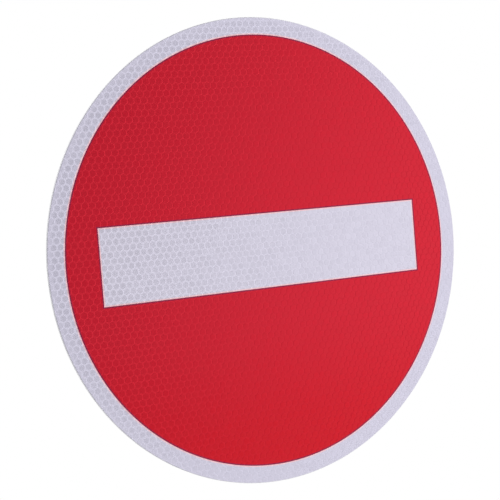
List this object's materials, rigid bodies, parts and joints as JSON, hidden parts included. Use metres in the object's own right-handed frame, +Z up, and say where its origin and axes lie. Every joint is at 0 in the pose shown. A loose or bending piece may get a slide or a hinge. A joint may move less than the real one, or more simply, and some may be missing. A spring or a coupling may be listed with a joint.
{
  "type": "no-entry prohibition sign",
  "caption": "Flat round traffic sign, red with a white horizontal bar and white border, honeycomb reflective face, with lipped channel rails bonded across the back.",
  "frame": {"origin": "on the sign's axis, in the plane of the rails' lips, where the post or wall bears on them", "axes": "the face looks along -Y, +Y points back to the post, +Z is up the sign, +X is to the right as the face is read"},
  "size_m": [0.3, 0.0161, 0.3],
  "materials": {
    "plate_metal": "mill finish with fine rolling grain",
    "rail_metal": "mill finish with fine extrusion lines",
    "white_sheeting": "clear gloss over pale honeycomb cells",
    "red_film": "clear red gloss with the honeycomb showing through",
    "foam_tape": "matt foam"
  },
  "bodies": {
    "root": {"sign_plate": "plate_metal", "white_sheeting": "white_sheeting", "red_film": "red_film", "rail_tape_upper": "foam_tape", "rail_tape_lower": "foam_tape", "fixing_rail_upper": "rail_metal", "fixing_rail_lower": "rail_metal"}
  },
  "joints": []
}
